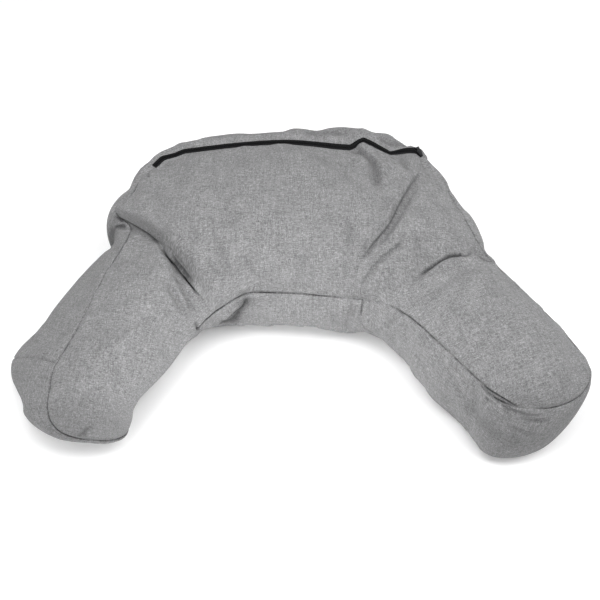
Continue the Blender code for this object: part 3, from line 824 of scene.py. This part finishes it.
surface, points, normals = cloth_surface()
near_line = np.zeros(len(points), bool)
for line in [lay_line(crease.points) for crease in CREASES] + [cross_line(seam) for seam in CROSS_SEAMS]:
    near_line[beside_line(line, REFINE_REACH)[0]] = True
body = bmesh.new()
body.from_mesh(cover_mesh)
body.verts.ensure_lookup_table()
finer = {edge for vertex in body.verts if near_line[vertex.index]
         for face in vertex.link_faces for edge in face.edges}
bmesh.ops.subdivide_edges(body, edges=list(finer), cuts=1, use_grid_fill=True)
body.to_mesh(cover_mesh)
body.free()

surface, points, normals = cloth_surface()
shift = np.zeros_like(points)
hollow = np.zeros(len(points))
random = np.random.default_rng(RANDOM_SEED)


def wander(length, pitch, draw, *between):
    """A random value that changes smoothly along a line, drawn anew at every pitch."""
    return smooth_through(draw(*between, size=int(length[-1] / pitch) + SPARE_KNOTS), length / pitch)


def sew(line, depth, puckers):
    """Draw the cloth in along a line of stitches, gather it into small puckers and paint shade into its
    valley.
    """
    near, distance, nearest = beside_line(line, SEAM_REACH)
    length = np.arange(len(line)) * STITCH_LINE_STEP
    gather = wander(length, PUCKER_PITCH, random.normal)
    gather *= wander(length, GATHER_PITCH, random.uniform, LEAST_GATHER, 1)
    sunk = np.exp(-(distance / SEAM_WIDTH) ** 2)
    rolled = (distance / SEAM_ROLL_REACH) * np.exp(1 - distance / SEAM_ROLL_REACH)
    fade = distance / (distance + SEAM_WIDTH) * np.exp(-distance / PUCKER_REACH)
    height = SEAM_ROLL * rolled * depth / SEAM_DEPTH - depth * sunk + puckers * gather[nearest] * fade
    shift[near] += normals[near] * height[:, None]
    # Paint shade into the seam's valley, stronger where the seam lies open.
    opened = np.clip(OPEN_SHARE * np.abs(wander(length, OPEN_PITCH, random.normal)), LEAST_OPEN, 1)
    hollow[near] = np.maximum(hollow[near], sunk * opened[nearest] * depth / SEAM_DEPTH * SEAM_SHADE)


sew(lay_line(spokes.seam, True), SEAM_DEPTH, PUCKER_DEPTH)
sew(lay_line(spokes.foot, True), SEAM_DEPTH * FOOT_SEAM[0], PUCKER_DEPTH * FOOT_SEAM[1])
for middle, reach in CLOSED_SPOTS:
    shut = CLOSED_SHARE * np.exp(-(np.linalg.norm(points - middle, axis=1) / reach) ** 4)
    hollow *= 1 - shut
    shift *= 1 - shut[:, None]
far_edge = spokes.band(BAND_WIDTH * spokes.band_share[:, None], 0)[spokes.zipped]
sew(lay_line(far_edge), SEAM_DEPTH * BAND_SEAM, PUCKER_DEPTH)
for seam in CROSS_SEAMS:
    sew(cross_line(seam), seam.depth, PUCKER_DEPTH * CROSS_PUCKERS)
for crease in CREASES:
    line = lay_line(crease.points)
    near, distance, nearest = beside_line(line, CREASE_REACH * crease.width)
    rightward = np.cross(np.gradient(line, axis=0)[nearest], normals[near])
    rightward /= np.linalg.norm(rightward, axis=1)[:, None]
    side = np.sum((points[near] - line[nearest]) * rightward, axis=1)
    fade = faded(nearest / (len(line) - 1), *CREASE_FADES)
    sunk = np.exp(-(distance / crease.width) ** 2) * fade
    lip = np.exp(-((distance / crease.width - LIP_PLACE) / LIP_SPREAD) ** 2) * fade
    leaning = np.where(side * crease.overhang < 0, lip, 0) * crease.overhang
    shift[near] += normals[near] * (CREASE_LIP * crease.depth * lip - crease.depth * sunk)[:, None]
    shift[near] += rightward * leaning[:, None]
    # Paint shade into the cloth's colour along the crease.
    hollow[near] = np.maximum(hollow[near], sunk * crease.shade)

zip_bed = np.empty(len(points))
cover_mesh.attributes["zip_bed"].data.foreach_get("value", zip_bed)
points += shift * (1 - zip_bed)[:, None]
hollow *= 1 - zip_bed
points[:, 2] = np.maximum(points[:, 2], 0)
cover_mesh.vertices.foreach_set("co", (points * MM).ravel())
# The shade painted along the seams and creases goes to the cloth's colour as a point attribute.
cover_mesh.attributes.new("hollow", "FLOAT", "POINT").data.foreach_set("value", hollow)
cover_mesh.shade_smooth()
cover_mesh.update()

# ----------------------------------------------------------
# The cloth: a plain weave of heathered mid grey yarns with darker and paler slubs, matt and slightly
# hairy, as a polyester linen is.

YARN_DARK = (0.070, 0.070, 0.072, 1)
YARN_MIDDLE = (0.215, 0.215, 0.218, 1)
YARN_PALE = (0.42, 0.42, 0.424, 1)
# The dark grey of the shade painted along the seams and creases.
PAINTED_SHADE_COLOUR = (0.08, 0.08, 0.083, 1)
WEAVE_SOCKETS = (
    ("Map", "Vector", None), ("Threads per metre", "Float", 1100),
    ("Slub length", "Float", 0.006), ("Slub width", "Float", 0.0015),
)
THREAD_BODY = 0.4               # how much of a thread's height doesn't come from its slubs
BUNDLE_LENGTH = 5.0             # a run of like yarn, in lengths and widths of a slub
BUNDLE_WIDTH = 2.4

linen_weave = bpy.data.node_groups.new("slubby plain weave", "ShaderNodeTree")
for name, kind, value in WEAVE_SOCKETS:
    socket = linen_weave.interface.new_socket(name, in_out="INPUT", socket_type="NodeSocket" + kind)
    if value is not None:
        socket.default_value = value
for name in ("Shade", "Height"):
    linen_weave.interface.new_socket(name, in_out="OUTPUT", socket_type="NodeSocketFloat")
weave_map, pitch, slub_length, slub_width = list(linen_weave.nodes.new("NodeGroupInput").outputs)[:4]


def weave_math(operation, *sources):
    """A math node inside the weave, fed by sockets or plain numbers."""
    return add_node(linen_weave, "Math", 0, dict(enumerate(sources)), operation=operation)


def times(first, second):
    return weave_math("MULTIPLY", first, second)


def weave_noise(width, length, detail, seed):
    """Noise drawn out along one set of threads; width and length are sockets in metres."""
    stretch = add_node(linen_weave, "CombineXYZ", "Vector", {
        "X": weave_math("DIVIDE", 1.0, width), "Y": weave_math("DIVIDE", 1.0, length)})
    scaled = add_node(linen_weave, "VectorMath", "Vector", {0: weave_map, 1: stretch}, operation="MULTIPLY")
    return add_node(linen_weave, "TexNoise", "Fac", {
        "Vector": scaled, "W": seed, "Scale": 1.0, "Detail": detail}, noise_dimensions="4D")


def thread_wave(across):
    """The rise and fall of one set of threads, which are counted along a socket."""
    return weave_math("SINE", times(times(across, pitch), math.pi))


def thread_height(wave, slub):
    return times(weave_math("ABSOLUTE", wave), weave_math("ADD", slub, THREAD_BODY))


along_weft = add_node(linen_weave, "SeparateXYZ", "X", {"Vector": weave_map})
warp_wave = thread_wave(along_weft)
weft_wave = thread_wave(along_weft.node.outputs["Y"])
over = weave_math("GREATER_THAN", times(warp_wave, weft_wave), 0.0)
warp_slub = weave_noise(slub_width, slub_length, 1.0, 3.0)
weft_slub = weave_noise(slub_length, slub_width, 1.0, 8.0)
fleck = weave_noise(slub_width, slub_width, 2.0, 5.0)
height = add_node(linen_weave, "Mix", "Result", {
    "Factor": over, "A": thread_height(weft_wave, weft_slub), "B": thread_height(warp_wave, warp_slub)})
bundle_length = times(slub_length, BUNDLE_LENGTH)
bundle_width = times(slub_width, BUNDLE_WIDTH)
warp_bundle = weave_noise(bundle_width, bundle_length, 1.0, 13.0)
weft_bundle = weave_noise(bundle_length, bundle_width, 1.0, 18.0)
mottle = weave_noise(bundle_length, bundle_length, 2.0, 21.0)
slubs = weave_math("ADD", times(warp_slub, 0.7), times(weft_slub, 0.9))
bundles = weave_math("ADD", times(warp_bundle, 0.35), times(weft_bundle, 0.35))
shade = weave_math("MULTIPLY_ADD", fleck, 1.2, weave_math("ADD", slubs, bundles))
shade = weave_math("MULTIPLY_ADD", mottle, 0.3, shade)
shade = times(shade, 1 / 3.8)   # the six shares add up to 3.8
feed(linen_weave.nodes.new("NodeGroupOutput"), {"Shade": shade, "Height": height})

linen, tree, shader = add_material("heathered grey linen")
cut = add_node(tree, "UVMap", "UV", {}, uv_map="cut")
weave = add_node(tree, "Group", "Shade", {"Map": cut}, node_tree=linen_weave)
yarn = add_ramp(tree, weave, (0.365, YARN_DARK), (0.5, YARN_MIDDLE), (0.635, YARN_PALE))
# Painted shade: the yarn's colour is multiplied towards a dark grey along the seams and creases.
painted_shade_mask = add_node(tree, "Attribute", "Fac", {}, attribute_name="hollow")
yarn_with_painted_shade = add_mix(tree, painted_shade_mask, yarn, PAINTED_SHADE_COLOUR, blend_type="MULTIPLY")
relief = add_node(tree, "Bump", "Normal", {
    "Strength": 0.6, "Distance": 0.0004, "Height": weave.node.outputs["Height"]})
feed(shader, {"Base Color": yarn_with_painted_shade, "Roughness": 0.92, "Specular IOR Level": 0.25,
              "Sheen Weight": 0.12, "Sheen Roughness": 0.6, "Normal": relief})
cover_mesh.materials.clear()
cover_mesh.materials.append(linen)

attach(cover, "root")
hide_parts("cushion")

# ----------------------------------------------------------
# The zip's tapes: two black woven polyester strips, sewn under the turned edges of the cloth and lying
# flat in the band along the head. Each is woven in a fine diagonal twill.

TAPE_SPANS = (("zip_tape_front", 1.4, 6.7), ("zip_tape_rear", 7.3, 12.6))
CLEARANCE = 0.5                 # between pieces that touch
TAPE_THICKNESS = 0.9
TAPE_BOTTOM = CLEARANCE - CHANNEL_DEPTH
TAPE_TOP = TAPE_BOTTOM + TAPE_THICKNESS
TAPE_STEP = 2.0
TAPE_CUT_STEP = 1.2             # mm on the cloth between the columns of a tape
TAPE_COLUMNS = 5
TAPE_BLACK = (0.006, 0.006, 0.0065, 1)
TAPE_LINT = (0.0132, 0.0132, 0.0143, 1)
TAPE_CORNER = math.radians(50)
ZIP_MIDDLE = 7.0
ZIP_POINT = 13.0                # where along the ribs the zip starts to narrow to its right end,
POINT_WIDTH = 0.3               # and the part of its width that is left there


def along_zip(distance, height, step):
    """Evenly spaced places along the zip at one distance and height from the seam, left to right."""
    middle = spokes.band(ZIP_MIDDLE, TAPE_TOP)[spokes.zipped][::-1]
    run = np.append(0, np.cumsum(np.linalg.norm(np.diff(middle, axis=0), axis=1)))
    pinch = 1 - (1 - POINT_WIDTH) * smooth_step((spokes.place - ZIP_POINT) / (ZIP_TO - ZIP_POINT))
    track = spokes.band(ZIP_MIDDLE + (distance - ZIP_MIDDLE) * pinch[:, None], height)[spokes.zipped][::-1]
    places = np.interp(np.arange(0, run[-1], step), run, np.arange(len(run)))
    return smooth_through(track, places)


def add_sharp(mesh, corner, material):
    """Finish a mesh, smooth but for corners sharper than an angle, and put it into the scene."""
    mesh.shade_smooth()
    mesh.set_sharp_from_angle(angle=corner)
    mesh.materials.append(material)
    return add_object(mesh.name, mesh)


tape_black, tree, shader = add_material("black woven tape")
cut = add_node(tree, "UVMap", "UV", {}, uv_map="cut")
twill = add_node(tree, "TexWave", "Fac", {"Vector": cut, "Scale": 420, "Distortion": 0.6},
                 bands_direction="DIAGONAL")
lint = add_node(tree, "TexNoise", "Fac", {"Vector": cut, "Scale": 260, "Detail": 4})
tone = add_mix(tree, lint, TAPE_BLACK, TAPE_LINT)
relief = add_node(tree, "Bump", "Normal", {"Strength": 0.7, "Distance": 0.0003, "Height": twill})
feed(shader, {"Base Color": tone, "Roughness": 0.9, "Specular IOR Level": 0.15, "Normal": relief})

for tape_name, near_edge, far_edge in TAPE_SPANS:
    across = np.linspace(near_edge, far_edge, TAPE_COLUMNS)
    loops = [along_zip(distance, TAPE_TOP, TAPE_STEP) for distance in across]
    loops += [along_zip(distance, TAPE_BOTTOM, TAPE_STEP) for distance in across[::-1]]
    sections = len(loops[0])
    around = len(loops)
    faces = []
    for section in range(sections - 1):
        for side in range(around):
            after = (side + 1) % around
            faces.append([(section, side), (section + 1, side), (section + 1, after), (section, after)])
    faces.append([(0, side) for side in range(around)])
    faces.append([(sections - 1, side) for side in range(around)][::-1])
    uvs = [(section * TAPE_STEP * MM, side * TAPE_CUT_STEP * MM)
           for face in faces for section, side in face]
    corners = np.array(loops).transpose(1, 0, 2).reshape(-1, 3) * MM
    faces = [[section * around + side for section, side in face] for face in faces]
    tape_mesh = bpy.data.meshes.new(tape_name + "_weave")
    tape_mesh.from_pydata(corners.tolist(), [], faces)
    tape_mesh.uv_layers.new(name="cut").data.foreach_set("uv", np.array(uvs).ravel())
    body = bmesh.new()
    body.from_mesh(tape_mesh)
    bmesh.ops.recalc_face_normals(body, faces=body.faces)
    body.to_mesh(tape_mesh)
    body.free()
    tape = add_sharp(tape_mesh, TAPE_CORNER, tape_black)
    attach(tape, "root")
    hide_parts(tape_name)

# ----------------------------------------------------------
# The coil: one nylon monofilament on each tape, wound so that the loops of the two lock together. It
# is sewn to the inner edges of the tapes, and the slider closes it.

COIL_PITCH = 1.3
COIL_LOOP = (2.5, 0.75, 1.1)    # across the zip, along it, and high
COIL_THICKNESS = 1.4
COIL_HEIGHT = TAPE_TOP + CLEARANCE + COIL_THICKNESS / 2
COIL_SIDES = 6
COIL_TAPER = 0.7                # how much narrower a loop is at its ends
COIL_OFFSET = 0.75              # how far a loop's middle lies from the zip's, to its own tape
COIL_CORNER = math.radians(65)
NYLON_BLACK = (0.006, 0.006, 0.0065, 1)
NYLON_PALE = (0.012, 0.012, 0.0125, 1)

loop_angles = np.arange(COIL_SIDES) * 2 * math.pi / COIL_SIDES
loop_ring = np.column_stack([np.zeros(COIL_SIDES), np.cos(loop_angles), np.sin(loop_angles)]) / 2
loop_end = loop_ring * COIL_TAPER
loop_shape = np.vstack([loop_end - (0.5, 0, 0), loop_ring, loop_end + (0.5, 0, 0)]) * COIL_LOOP
loop_faces = [list(range(COIL_SIDES))[::-1], list(range(2 * COIL_SIDES, 3 * COIL_SIDES))]
for ring in (0, COIL_SIDES):
    for side in range(COIL_SIDES):
        after = (side + 1) % COIL_SIDES
        loop_faces.append([ring + side, ring + after, ring + COIL_SIDES + after, ring + COIL_SIDES + side])
coil_lines = (along_zip(ZIP_MIDDLE, COIL_HEIGHT, COIL_PITCH / 2),
              along_zip(ZIP_MIDDLE - 1, COIL_HEIGHT, COIL_PITCH / 2),
              along_zip(ZIP_MIDDLE, COIL_HEIGHT + 1, COIL_PITCH / 2))
coil_points = []
coil_faces = []
for number, (centre, inner, raised) in enumerate(zip(*coil_lines)):
    across_zip = Vector(centre - inner).normalized()
    up_zip = Vector(raised - centre).normalized()
    turn = np.array((across_zip, up_zip.cross(across_zip), up_zip))
    centre = centre + np.array(across_zip) * (-COIL_OFFSET if number % 2 else COIL_OFFSET)
    coil_faces += [[corner + number * len(loop_shape) for corner in face] for face in loop_faces]
    coil_points.append(loop_shape @ turn + centre)
coil_mesh = bpy.data.meshes.new("zip_coil_loops")
coil_mesh.from_pydata((np.vstack(coil_points) * MM).tolist(), [], coil_faces)

nylon, tree, shader = add_material("black nylon coil")
noise = add_node(tree, "TexNoise", "Fac", {"Scale": 600})
gloss = add_node(tree, "MapRange", "Result", {"Value": noise, "To Min": 0.38, "To Max": 0.62})
tone = add_mix(tree, noise, NYLON_BLACK, NYLON_PALE)
feed(shader, {"Base Color": tone, "Roughness": gloss, "Specular IOR Level": 0.25})
coil = add_sharp(coil_mesh, COIL_CORNER, nylon)
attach(coil, "root")
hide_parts("zip_coil")

# ----------------------------------------------------------
# The slider: a die-cast body, lacquered black, that rides on the coil at the right-hand end, with a
# pull tab that lies back along the zip from a loop on its top.

SLIDER_SIZE = (11, 7, 2.4)
PULL_SIZE = (16, 5, 1.2)
COIL_TOP = TAPE_TOP + CLEARANCE + COIL_THICKNESS
SLIDER_TRACK = 7                # mm of the zip that the slider lies along
SLIDER_CORNER = math.radians(40)
EDGE_ROUND = 0.3                # of a plate's thickness
LACQUER_BLACK = (0.016, 0.016, 0.018, 1)
LACQUER_WORN = (0.035, 0.035, 0.037, 1)
WEAR_EDGE = 0.1                 # how gradually the lacquer gives way to the worn grey

# Plates of the slider and its pull, in parts of their whole size: length, width at the nose, width at
# the tail, thickness, and how far forward and how high the plate's middle lies.
SLIDER_PLATES = ((1, 0.5, 1, 0.4, 0, 0.3), (1, 0.5, 1, 0.3, 0, -0.35), (0.3, 0.2, 0.2, 0.9, -0.3, 0))
PULL_PLATES = ((0.7, 0.7, 1, 1, 0.12, 0), (0.22, 0.4, 0.4, 1, -0.3, 0), (0.45, 0.5, 0.6, 0.4, 0.12, 0.6))

track = along_zip(ZIP_MIDDLE, COIL_TOP, 1.0)
end = Vector(track[-1])
slider_up = (Vector(along_zip(ZIP_MIDDLE, COIL_TOP + 1, 1.0)[-1]) - end).normalized()
slider_along = (Vector(track[-1 - SLIDER_TRACK]) - end).normalized()
slider_turn = Matrix((slider_along, slider_up.cross(slider_along), slider_up)).transposed().to_4x4()


def plated(size, plates):
    """A body built of plates with rounded edges, each tapering from its nose to its tail."""
    length, width, thickness = size
    body = bmesh.new()
    for long, nose, tail, thick, forward, high in plates:
        made = bmesh.ops.create_cube(body, size=1.0)["verts"]
        for vertex in made:
            wide = width * (nose if vertex.co.x < 0 else tail)
            vertex.co = Vector((vertex.co.x * length * long + length * forward, vertex.co.y * wide,
                                vertex.co.z * thickness * thick + thickness * high))
        rim = {edge for vertex in made for edge in vertex.link_edges}
        offset = thickness * thick * EDGE_ROUND
        bmesh.ops.bevel(body, geom=list(rim), offset=offset, segments=3, affect="EDGES")
    return body


def black_lacquer(name, chip):
    """Gloss black lacquer over zinc, a little worn to grey where it rubs."""
    lacquer, tree, shader = add_material(name)
    scuffs = add_node(tree, "TexNoise", "Fac", {"Scale": 900, "Detail": 6})
    worn = add_ramp(tree, scuffs, (chip, LACQUER_BLACK), (chip + WEAR_EDGE, LACQUER_WORN))
    gloss = add_node(tree, "MapRange", "Result", {"Value": scuffs, "To Min": 0.25, "To Max": 0.55})
    feed(shader, {"Base Color": worn, "Roughness": gloss, "Coat Weight": 0.3})
    return lacquer


slider_rise = CLEARANCE + SLIDER_SIZE[2] / 2
pull_rise = CLEARANCE + SLIDER_SIZE[2] + CLEARANCE + PULL_SIZE[2] / 2
for piece_name, size, plates, rise, node, chip in (
        ("zip_slider_body", SLIDER_SIZE, SLIDER_PLATES, slider_rise, "zip_slider", 0.62),
        ("zip_pull_tab", PULL_SIZE, PULL_PLATES, pull_rise, "zip_pull", 0.60)):
    body = plated(size, plates)
    place = Matrix.Translation(end + slider_along * size[0] / 2 + slider_up * rise)
    bmesh.ops.transform(body, matrix=place @ slider_turn, verts=body.verts)
    bmesh.ops.scale(body, vec=(MM, MM, MM), verts=body.verts)
    piece_mesh = bpy.data.meshes.new(piece_name)
    body.to_mesh(piece_mesh)
    body.free()
    lacquer = black_lacquer(piece_name.replace("_", " ") + " lacquer", chip)
    piece = add_sharp(piece_mesh, SLIDER_CORNER, lacquer)
    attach(piece, "root")
    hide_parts(node)
